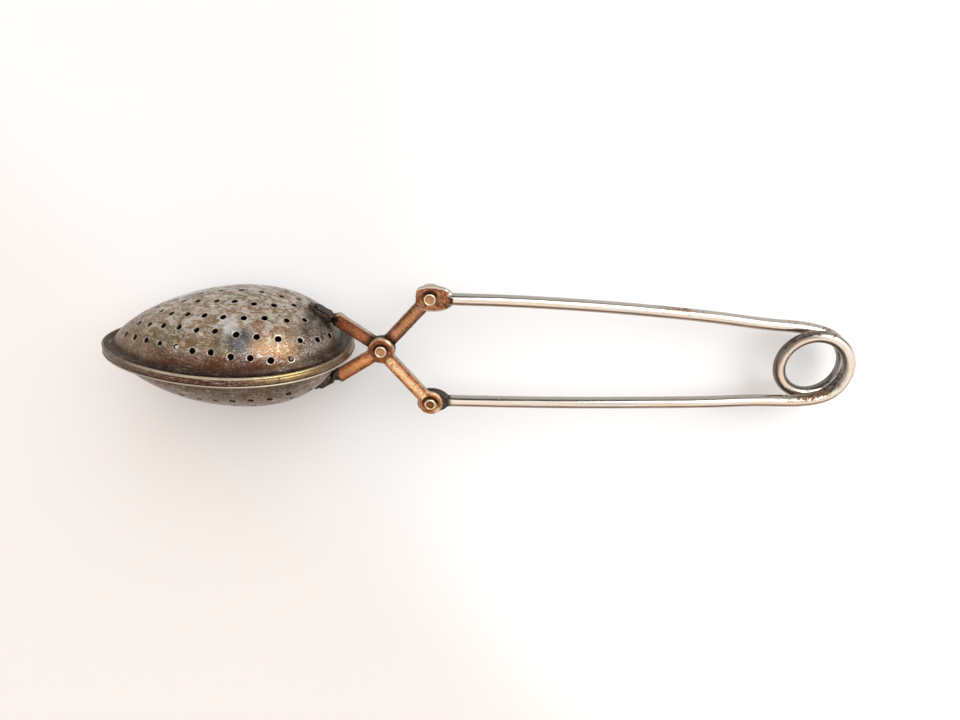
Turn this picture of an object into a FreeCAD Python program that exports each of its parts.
import FreeCAD, Part
import math
import os
from FreeCAD import Vector

# Spring-handle tea infuser. All sizes are in millimetres.
# +X runs along the handle to its coil, +Y runs along the pivot pins, from their clinched ends to
# their heads, and +Z is the side of the upper shell.
# Lengths along X are from the main pivot. The finished shapes are moved so that the origin is the
# middle of the coil, which is the loop that the infuser hangs by.

# Body: two egg-shaped half shells, blunt towards the handle and pointed at the tip
BODY_CENTRE_X = -31.55
RIM_HALF_LENGTH = 25.6
RIM_HALF_WIDTH = 18.0
EGG_BLUNTNESS = 0.19
FLANGE_WIDTH = 2.5
SHELL_THICKNESS = 0.45
DOME_TOP_Z = 11.48
CROWN_POWER = 1.2

# Rim: a soldered band round the upper flange, and the bare flange of the lower shell under it
UPPER_FLANGE_TOP_Z = 0.6
BAND_TOP_Z = 1.08
BAND_BOTTOM_Z = -0.5
BAND_THICKNESS = 0.8
BAND_TOP_ROUND = 0.42
BAND_BOTTOM_ROUND = 0.12
LOWER_FLANGE_TOP_Z = -0.55
LOWER_FLANGE_PROUD = 0.1

# Perforations: egg-shaped rings of holes, each set in from the foot of the dome by its side, tip
# and handle-end insets, and a last straight row along the crown. A ring's first hole is its start
# times the pitch away from its blunt end.
HOLE_RADIUS = 0.62
RINGS = (
    {"side": 0.95, "tip": 1.2, "end": 0.1, "bluntness": 0.25, "count": 32, "start": 0.1},
    {"side": 3.5, "tip": 3.8, "end": 1.0, "bluntness": 0.27, "count": 27, "start": 0.25},
    {"side": 6.2, "tip": 9.6, "end": 4.0, "bluntness": 0.13, "count": 21, "start": 0.75},
    {"side": 10.4, "tip": 13.3, "end": 7.8, "bluntness": 0.21, "count": 15, "start": 0.5},
)
CROWN_ROW_START_X = -36.0
CROWN_ROW_PITCH = 4.1
CROWN_ROW_COUNT = 5
LOWER_RING_SHIFT = 1.1
BARE_END_X = -14.8
BARE_TIP_HALF_WIDTH = 5.0
TAB_CLEAR_X = -16.2
TAB_CLEAR_HALF_WIDTH = 1.9

# Straps: two bell cranks that cross at the main pivot
PIVOT_REACH = 15.45
HANDLE_SIDE_ANGLE = 49.1
BODY_SIDE_ANGLE = 34.0
STRAP_WIDTH = 2.9
STRAP_THICKNESS = 1.22
LAYER_GAP = 0.03
MAIN_EYE_RADIUS = 2.85
HANDLE_EYE_RADIUS = 2.65
TWIST_START = 10.7
TWIST_END = 12.6
TAB_END = 14.9
TAB_WIDTH = 2.2
TAB_THICKNESS = 0.8
SOLDER_LENGTH = 5.8
SOLDER_WIDTH = 3.0

# Rivets: semi-tubular, with the clinched end in front and the domed head behind
SHANK_RADIUS = 0.8
RUNNING_CLEARANCE = 0.05
CLINCH_RADIUS = 1.22
CLINCH_FRONT_Y = -1.78
CLINCH_BORE_RADIUS = 0.72
CLINCH_BORE_FLOOR_RADIUS = 0.62
CLINCH_BORE_DEPTH = 0.5
CLINCH_ROUND = 0.2
COUNTERBORE_RADIUS = 1.65
COUNTERBORE_DEPTH = 0.3
HEAD_RADIUS = 1.9
HEAD_HEIGHT = 0.85
FACE_GAP = 0.03

# Open pivot: the upper wire's eye is loose on its rivet, and set off centre, so that the rivet
# stays inside it through the whole squeeze
LOOSE_HOLE_OFFSET = 0.27
LOOSE_HOLE_RADIUS = 1.11

# Handle: one spring wire with flattened ends and one and a half turns of coil
WIRE_RADIUS = 1.25
COIL_CENTRE_X = 88.0
COIL_RADIUS = 6.6
COIL_PITCH = 3.0
UPPER_LEG_BOW = 1.25
LOWER_LEG_BOW = 0.72
UPPER_PADDLE_CENTRE = 0.4
UPPER_PADDLE_HALF_LENGTH = 4.5
LOWER_PADDLE_CENTRE = 0.1
LOWER_PADDLE_HALF_LENGTH = 3.9
PADDLE_HALF_WIDTH = 2.7
PADDLE_CUT = -2.9
WIRE_START = 3.0
FLATTENED_LENGTH = 1.6

LAYER_MIDDLE_Y = LAYER_GAP + STRAP_THICKNESS / 2
LAYER_OUTER_Y = LAYER_GAP + STRAP_THICKNESS
HANDLE_PIN_X = PIVOT_REACH * math.cos(math.radians(HANDLE_SIDE_ANGLE))
HANDLE_PIN_Z = PIVOT_REACH * math.sin(math.radians(HANDLE_SIDE_ANGLE))
DOME_HALF_LENGTH = RIM_HALF_LENGTH - FLANGE_WIDTH
DOME_HALF_WIDTH = RIM_HALF_WIDTH - FLANGE_WIDTH
Y_AXIS = Vector(0, 1, 0)
THROUGH_ALL = 4.0
SAME_PLACE = 0.01


def turned_over(shape):
    """The same shape on the other side: half a turn about the long axis."""
    return shape.copy().rotate(Vector(0, 0, 0), Vector(1, 0, 0), 180)


def egg_profile(t, bluntness=EGG_BLUNTNESS):
    """Width of the egg at angle t, as a share of its width at mid-length."""
    return math.sin(t) * (1 + bluntness * math.cos(t))


def egg_face(half_length, half_width, z, centre_x=BODY_CENTRE_X, bluntness=EGG_BLUNTNESS):
    """Flat egg-shaped face; t = 0 is the blunt end and t = pi the tip."""
    count = 48
    points = []
    for i in range(count):
        t = 2 * math.pi * i / count
        y = half_width * egg_profile(t, bluntness)
        points.append(Vector(centre_x + half_length * math.cos(t), y, z))
    curve = Part.BSplineCurve()
    curve.interpolate(Points=points, PeriodicFlag=True)
    return Part.Face(Part.Wire([curve.toShape()]))


def egg_plate(inset, low_z, high_z):
    """Flat plate with the rim's outline, set in from it by inset."""
    face = egg_face(RIM_HALF_LENGTH - inset, RIM_HALF_WIDTH - inset, low_z)
    return face.extrude(Vector(0, 0, high_z - low_z))


def dome(half_length, half_width, foot_z, top_z):
    """Solid half egg. Every section across its length is half an ellipse."""
    steps = 16
    spine_points = []
    spine_parameters = []
    for i in range(steps + 1):
        t = math.pi * i / steps
        share = max(egg_profile(t), 0.0)
        x = BODY_CENTRE_X + half_length * math.cos(t)
        height = (top_z - foot_z) * share ** CROWN_POWER
        spine_points.append(Vector(x, half_width * share, height))
        spine_parameters.append(t)
    spine = Part.BSplineCurve()
    spine.interpolate(Points=spine_points, Parameters=spine_parameters)

    # control polygon and weights of the half ellipse, as two quarter arcs
    corner = math.sqrt(0.5)
    across = ((1, 0, 1.0), (1, 1, corner), (0, 1, 1.0), (-1, 1, corner), (-1, 0, 1.0))
    poles = []
    weights = []
    for pole in spine.getPoles():
        poles.append([Vector(pole.x, pole.y * a, foot_z + pole.z * b) for a, b, w in across])
        weights.append([w for a, b, w in across])
    surface = Part.BSplineSurface()
    surface.buildFromPolesMultsKnots(
        poles, spine.getMultiplicities(), (3, 2, 3), spine.getKnots(), (0.0, 0.5, 1.0),
        False, False, spine.Degree, 2, weights)
    skin = surface.toShape()
    rim_edges = [surface.vIso(v).toShape() for v in (0.0, 1.0)]
    floor = Part.Face(Part.Wire(Part.__sortEdges__(rim_edges)))
    shell = Part.makeShell([skin, floor])
    shell.sewShape()
    return Part.Solid(shell.Shells[0])


def dome_height(x, y, foot_z, top_z):
    """Height of the dome's outside over the point x, y."""
    t = math.acos((x - BODY_CENTRE_X) / DOME_HALF_LENGTH)
    share = egg_profile(t)
    across = y / (DOME_HALF_WIDTH * share)
    return foot_z + (top_z - foot_z) * share ** CROWN_POWER * math.sqrt(1 - across * across)


def dome_normal(x, y, foot_z, top_z):
    step = 0.01
    slope_x = dome_height(x + step, y, foot_z, top_z) - dome_height(x - step, y, foot_z, top_z)
    slope_y = dome_height(x, y + step, foot_z, top_z) - dome_height(x, y - step, foot_z, top_z)
    return Vector(-slope_x / (2 * step), -slope_y / (2 * step), 1).normalize()


def hole_places(ring_shift):
    """Plan positions of the perforations."""
    places = []
    for number, ring in enumerate(RINGS):
        tip_x = BODY_CENTRE_X - DOME_HALF_LENGTH + ring["tip"]
        end_x = BODY_CENTRE_X + DOME_HALF_LENGTH - ring["end"] - ring_shift / 2
        half_length = (end_x - tip_x) / 2
        half_width = DOME_HALF_WIDTH - ring["side"] - ring_shift
        face = egg_face(half_length, half_width, 0, (tip_x + end_x) / 2, ring["bluntness"])
        outline = face.Edges[0]
        for i in range(ring["count"]):
            distance = outline.Length * (i + ring["start"]) / ring["count"]
            point = outline.valueAt(outline.getParameterByLength(distance))
            bare_end = number == 0 and point.x > BARE_END_X
            bare_tip = number == 0 and point.x < BODY_CENTRE_X and abs(point.y) < BARE_TIP_HALF_WIDTH
            if not bare_end and not bare_tip:
                places.append((point.x, point.y))
    for i in range(CROWN_ROW_COUNT):
        places.append((CROWN_ROW_START_X + i * CROWN_ROW_PITCH, 0.0))
    return [(x, y) for x, y in places
            if x < TAB_CLEAR_X or abs(y - LAYER_MIDDLE_Y) > TAB_CLEAR_HALF_WIDTH]


def perforations(foot_z, ring_shift):
    """Drills square to the dome, one per hole."""
    reach = 2 * SHELL_THICKNESS
    drills = []
    for x, y in hole_places(ring_shift):
        normal = dome_normal(x, y, foot_z, DOME_TOP_Z)
        start = Vector(x, y, dome_height(x, y, foot_z, DOME_TOP_Z)) - normal * reach
        drills.append(Part.makeCylinder(HOLE_RADIUS, 2 * reach, start, normal))
    return Part.makeCompound(drills)


def perforated_shell(flange_top_z, flange_inset, ring_shift):
    """Half shell with its dome up: wall, flat flange and holes."""
    wall = SHELL_THICKNESS
    flange_low_z = flange_top_z - wall
    outside = dome(DOME_HALF_LENGTH, DOME_HALF_WIDTH, flange_top_z, DOME_TOP_Z)
    hollow = dome(DOME_HALF_LENGTH - wall, DOME_HALF_WIDTH - wall, flange_low_z, DOME_TOP_Z - wall)
    blank = outside.fuse(egg_plate(flange_inset, flange_low_z, flange_top_z))
    return blank.cut(hollow).cut(perforations(flange_top_z, ring_shift))


def upper_rim_band():
    """Flat band on edge round the upper flange, with its top edge rolled over."""
    band = egg_plate(0, BAND_BOTTOM_Z, BAND_TOP_Z)
    for z, round_radius in ((BAND_TOP_Z, BAND_TOP_ROUND), (BAND_BOTTOM_Z, BAND_BOTTOM_ROUND)):
        level_edges = [edge for edge in band.Edges
                       if abs(edge.BoundBox.ZMin - z) < SAME_PLACE
                       and abs(edge.BoundBox.ZMax - z) < SAME_PLACE]
        band = band.makeFillet(round_radius, level_edges)
    return band.cut(egg_plate(BAND_THICKNESS, BAND_BOTTOM_Z - 1, BAND_TOP_Z + 1))


def point_along(angle, reach, offset, y):
    """A point in the plane of the straps, reach along the direction angle and offset square to it."""
    a = math.radians(angle)
    x = reach * math.cos(a) - offset * math.sin(a)
    z = reach * math.sin(a) + offset * math.cos(a)
    return Vector(x, y, z)


def rectangle_across(angle, reach, width, thickness, twist):
    """Rectangle square to a strap; twist turns it about the strap's own axis."""
    turn = math.radians(twist)
    corners = []
    for a, b in ((1, 1), (-1, 1), (-1, -1), (1, -1), (1, 1)):
        offset = a * width / 2 * math.cos(turn) - b * thickness / 2 * math.sin(turn)
        y = LAYER_MIDDLE_Y + a * width / 2 * math.sin(turn) + b * thickness / 2 * math.cos(turn)
        corners.append(point_along(angle, reach, offset, y))
    return Part.makePolygon(corners)


def strap_bar(angle, start, end):
    section = Part.Face(rectangle_across(angle, start, STRAP_WIDTH, STRAP_THICKNESS, 0))
    direction = point_along(angle, 1, 0, 0)
    return section.extrude(direction * (end - start))


def eye_disc(centre, radius, low_y, high_y):
    return Part.makeCylinder(radius, high_y - low_y, Vector(centre.x, low_y, centre.z), Y_AXIS)


def body_side_tab(angle):
    """Strap end, twisted a quarter turn so that it lies flat on the dome, with a rounded end."""
    sections = []
    steps = 4
    for i in range(steps + 1):
        share = i / steps
        width = STRAP_WIDTH + (TAB_WIDTH - STRAP_WIDTH) * share
        thickness = STRAP_THICKNESS + (TAB_THICKNESS - STRAP_THICKNESS) * share
        reach = TWIST_START + (TWIST_END - TWIST_START) * share
        sections.append(rectangle_across(angle, reach, width, thickness, 90 * share))
    twist = Part.makeLoft(sections, True, False)
    direction = point_along(angle, 1, 0, 0)
    flat_section = Part.Face(rectangle_across(angle, TWIST_END, TAB_WIDTH, TAB_THICKNESS, 90))
    flat = flat_section.extrude(direction * (TAB_END - TWIST_END))
    across = point_along(angle, 0, 1, 0)
    end_low = point_along(angle, TAB_END, -TAB_THICKNESS / 2, LAYER_MIDDLE_Y)
    rounded = Part.makeCylinder(TAB_WIDTH / 2, TAB_THICKNESS, end_low, across)
    return twist.fuse([flat, rounded])


def arm(upper_dome):
    """Bell crank of the upper jaw: tab, body-side bar, main eye, handle-side bar and handle eye."""
    body_angle = 180 - BODY_SIDE_ANGLE
    handle_pin = Vector(HANDLE_PIN_X, 0, HANDLE_PIN_Z)
    pieces = [
        eye_disc(Vector(0, 0, 0), MAIN_EYE_RADIUS, LAYER_GAP, LAYER_OUTER_Y),
        eye_disc(handle_pin, HANDLE_EYE_RADIUS, LAYER_GAP, LAYER_OUTER_Y),
        strap_bar(HANDLE_SIDE_ANGLE, 0, PIVOT_REACH),
        body_side_tab(body_angle),
    ]
    crank = strap_bar(body_angle, 0, TWIST_START).fuse(pieces).removeSplitter()
    return crank.cut(upper_dome)


def drilled(shape, centre, radius, counterbored_from=None):
    """Pin hole along Y, with a counterbore in the face at y = counterbored_from."""
    shape = shape.cut(eye_disc(centre, radius, -THROUGH_ALL, THROUGH_ALL))
    if counterbored_from is None:
        return shape
    floor_y = counterbored_from + COUNTERBORE_DEPTH
    return shape.cut(eye_disc(centre, COUNTERBORE_RADIUS, counterbored_from - 1, floor_y))


def tab_solder(upper_dome, upper_arm):
    """Leaf-shaped bed of solder that fills the space between the tab and the dome."""
    angle = 180 - BODY_SIDE_ANGLE
    depth = 3.0
    middle_reach = (TWIST_END + TAB_END + TAB_WIDTH / 2) / 2
    towards_dome = point_along(angle, 0, 1, 0)
    leaf = Part.makeCylinder(SOLDER_WIDTH / 2, depth)
    stretch = FreeCAD.Matrix()
    stretch.scale(SOLDER_LENGTH / SOLDER_WIDTH, 1, 1)
    leaf = leaf.transformGeometry(stretch)
    tilt = FreeCAD.Rotation(point_along(angle, 1, 0, 0), Y_AXIS, towards_dome, "ZXY")
    place = point_along(angle, middle_reach, 0, LAYER_MIDDLE_Y)
    leaf.Placement = FreeCAD.Placement(place, tilt)
    bed = leaf.cut(upper_dome).cut(upper_arm)
    solids = sorted(bed.Solids, key=lambda solid: solid.Volume)
    return solids[-1]


def rivet(centre, far_face_y):
    """Rivet on the Y axis: tubular clinched end, shank and domed head."""
    clinch_base = -LAYER_OUTER_Y + COUNTERBORE_DEPTH - FACE_GAP
    bore_floor = CLINCH_FRONT_Y + CLINCH_BORE_DEPTH
    head_base = far_face_y + FACE_GAP
    crest = CLINCH_FRONT_Y
    dome_radius = (HEAD_RADIUS ** 2 + HEAD_HEIGHT ** 2) / (2 * HEAD_HEIGHT)
    dome_centre_y = head_base + HEAD_HEIGHT - dome_radius
    half_way = math.asin(HEAD_RADIUS / dome_radius) / 2
    profile = [
        Part.LineSegment(Vector(0, bore_floor, 0), Vector(CLINCH_BORE_FLOOR_RADIUS, bore_floor, 0)),
        Part.LineSegment(Vector(CLINCH_BORE_FLOOR_RADIUS, bore_floor, 0),
                         Vector(CLINCH_BORE_RADIUS, crest + CLINCH_ROUND, 0)),
        Part.Arc(Vector(CLINCH_BORE_RADIUS, crest + CLINCH_ROUND, 0),
                 Vector((CLINCH_BORE_RADIUS + CLINCH_RADIUS) / 2, crest, 0),
                 Vector(CLINCH_RADIUS, crest + CLINCH_ROUND, 0)),
        Part.LineSegment(Vector(CLINCH_RADIUS, crest + CLINCH_ROUND, 0),
                         Vector(CLINCH_RADIUS, clinch_base, 0)),
        Part.LineSegment(Vector(CLINCH_RADIUS, clinch_base, 0), Vector(SHANK_RADIUS, clinch_base, 0)),
        Part.LineSegment(Vector(SHANK_RADIUS, clinch_base, 0), Vector(SHANK_RADIUS, head_base, 0)),
        Part.LineSegment(Vector(SHANK_RADIUS, head_base, 0), Vector(HEAD_RADIUS, head_base, 0)),
        Part.Arc(Vector(HEAD_RADIUS, head_base, 0),
                 Vector(dome_radius * math.sin(half_way),
                        dome_centre_y + dome_radius * math.cos(half_way), 0),
                 Vector(0, head_base + HEAD_HEIGHT, 0)),
        Part.LineSegment(Vector(0, head_base + HEAD_HEIGHT, 0), Vector(0, bore_floor, 0)),
    ]
    wire = Part.Wire([piece.toShape() for piece in profile])
    solid = Part.Face(wire).revolve(Vector(0, 0, 0), Y_AXIS, 360)
    solid.translate(Vector(centre.x, 0, centre.z))
    return solid


def coil_point(degrees):
    """Point on the wire's centre line in the coil; 90 is its top and 270 its bottom."""
    t = math.radians(degrees)
    y = COIL_PITCH * (degrees - 180) / 360
    return Vector(COIL_CENTRE_X + COIL_RADIUS * math.cos(t), y, COIL_RADIUS * math.sin(t))


def leg_point(share, bow):
    """Point on the upper leg's centre line, from the flattened end at 0 to the coil at 1."""
    coil_end = coil_point(450)
    x = HANDLE_PIN_X + WIRE_START + (coil_end.x - HANDLE_PIN_X - WIRE_START) * share
    y = -LAYER_MIDDLE_Y + (coil_end.y + LAYER_MIDDLE_Y) * share
    z = HANDLE_PIN_Z + (coil_end.z - HANDLE_PIN_Z) * share + 4 * bow * share * (1 - share)
    return Vector(x, y, z)


def paddle(centre_x, half_length):
    """Flattened wire end round the upper handle pin: a drop-shaped plate with a straight end."""
    centre = Vector(HANDLE_PIN_X + centre_x, -LAYER_OUTER_Y, HANDLE_PIN_Z)
    disc = Part.makeCylinder(PADDLE_HALF_WIDTH, STRAP_THICKNESS, Vector(0, 0, 0), Y_AXIS)
    stretch = FreeCAD.Matrix()
    stretch.scale(half_length / PADDLE_HALF_WIDTH, 1, 1)
    plate = disc.transformGeometry(stretch)
    plate.translate(centre)
    end_x = HANDLE_PIN_X + PADDLE_CUT
    size = 2 * half_length
    offcut = Part.makeBox(size, size, size, Vector(end_x - size, -size / 2, HANDLE_PIN_Z - size / 2))
    return plate.cut(offcut)


def flattening_cuts():
    """Wedges that take the round wire down to the paddle's faces."""
    slope_start_x = HANDLE_PIN_X + WIRE_START
    slope_end_x = slope_start_x + FLATTENED_LENGTH
    low_x = slope_start_x - 1
    low_z = HANDLE_PIN_Z - PADDLE_HALF_WIDTH
    cuts = []
    for face_y, outward in ((-LAYER_OUTER_Y, -1), (-LAYER_GAP, 1)):
        clear_y = outward * THROUGH_ALL
        corners = [
            Vector(low_x, face_y, low_z),
            Vector(slope_start_x, face_y, low_z),
            Vector(slope_end_x, face_y + outward * WIRE_RADIUS / 2, low_z),
            Vector(slope_end_x, clear_y, low_z),
            Vector(low_x, clear_y, low_z),
            Vector(low_x, face_y, low_z),
        ]
        wedge = Part.Face(Part.makePolygon(corners))
        cuts.append(wedge.extrude(Vector(0, 0, 2 * PADDLE_HALF_WIDTH)))
    return cuts


def handle_half(bow, flat_end):
    """Upper half of the handle wire: flat end, leg, and coil down to the middle of its length."""
    leg_shares = (0, 0.15, 0.3, 0.45, 0.6, 0.75, 0.88)
    points = [leg_point(share, bow) for share in leg_shares]
    points += [coil_point(degrees) for degrees in range(440, 179, -20)]
    path = Part.BSplineCurve()
    path.interpolate(Points=points)
    spine = Part.Wire([path.toShape()])
    tangent = path.tangent(path.FirstParameter)[0]
    section = Part.Wire([Part.makeCircle(WIRE_RADIUS, points[0], tangent)])
    wire = spine.makePipeShell([section], True, False)
    return wire.cut(flattening_cuts()).fuse(flat_end)


def build():
    """All nodes, by name."""
    main_pin = Vector(0, 0, 0)
    upper_pin = Vector(HANDLE_PIN_X, 0, HANDLE_PIN_Z)
    lower_pin = Vector(HANDLE_PIN_X, 0, -HANDLE_PIN_Z)
    running_radius = SHANK_RADIUS + RUNNING_CLEARANCE

    # the lower half is modelled dome up, and turned over at the end
    lower_flange_z = SHELL_THICKNESS - LOWER_FLANGE_TOP_Z
    upper_dome = dome(DOME_HALF_LENGTH, DOME_HALF_WIDTH, UPPER_FLANGE_TOP_Z, DOME_TOP_Z)
    lower_dome = dome(DOME_HALF_LENGTH, DOME_HALF_WIDTH, lower_flange_z, DOME_TOP_Z)
    upper_blank = arm(upper_dome)
    lower_blank = arm(lower_dome)
    upper_arm = drilled(upper_blank, main_pin, running_radius)
    upper_arm = drilled(upper_arm, upper_pin, SHANK_RADIUS)
    lower_arm = turned_over(lower_blank)
    lower_arm = drilled(lower_arm, main_pin, SHANK_RADIUS, -LAYER_OUTER_Y)
    lower_arm = drilled(lower_arm, lower_pin, SHANK_RADIUS, -LAYER_OUTER_Y)

    upper_paddle = paddle(UPPER_PADDLE_CENTRE, UPPER_PADDLE_HALF_LENGTH)
    loose_hole = upper_pin + Vector(0, 0, LOOSE_HOLE_OFFSET)
    upper_wire = drilled(handle_half(UPPER_LEG_BOW, upper_paddle), loose_hole,
                         LOOSE_HOLE_RADIUS, -LAYER_OUTER_Y)
    lower_paddle = paddle(LOWER_PADDLE_CENTRE, LOWER_PADDLE_HALF_LENGTH)
    lower_wire = turned_over(handle_half(LOWER_LEG_BOW, lower_paddle))
    lower_wire = drilled(lower_wire, lower_pin, running_radius)
    return {
        "upper_shell": perforated_shell(UPPER_FLANGE_TOP_Z, BAND_THICKNESS, 0.0),
        "upper_rim_band": upper_rim_band(),
        "lower_shell": turned_over(perforated_shell(lower_flange_z, -LOWER_FLANGE_PROUD,
                                                    LOWER_RING_SHIFT)),
        "upper_arm": upper_arm,
        "lower_arm": lower_arm,
        "upper_tab_solder": tab_solder(upper_dome, upper_blank),
        "lower_tab_solder": turned_over(tab_solder(lower_dome, lower_blank)),
        "main_pivot_rivet": rivet(main_pin, LAYER_OUTER_Y),
        "upper_handle_rivet": rivet(upper_pin, LAYER_OUTER_Y),
        "lower_handle_rivet": rivet(lower_pin, LAYER_OUTER_Y),
        "upper_handle_wire": upper_wire,
        "lower_handle_wire": lower_wire,
    }


os.makedirs("parts", exist_ok=True)
for node, shape in build().items():
    solid = shape.Solids[0]
    solid.translate(Vector(-COIL_CENTRE_X, 0, 0))
    solid.exportStep("parts/" + node + ".step")
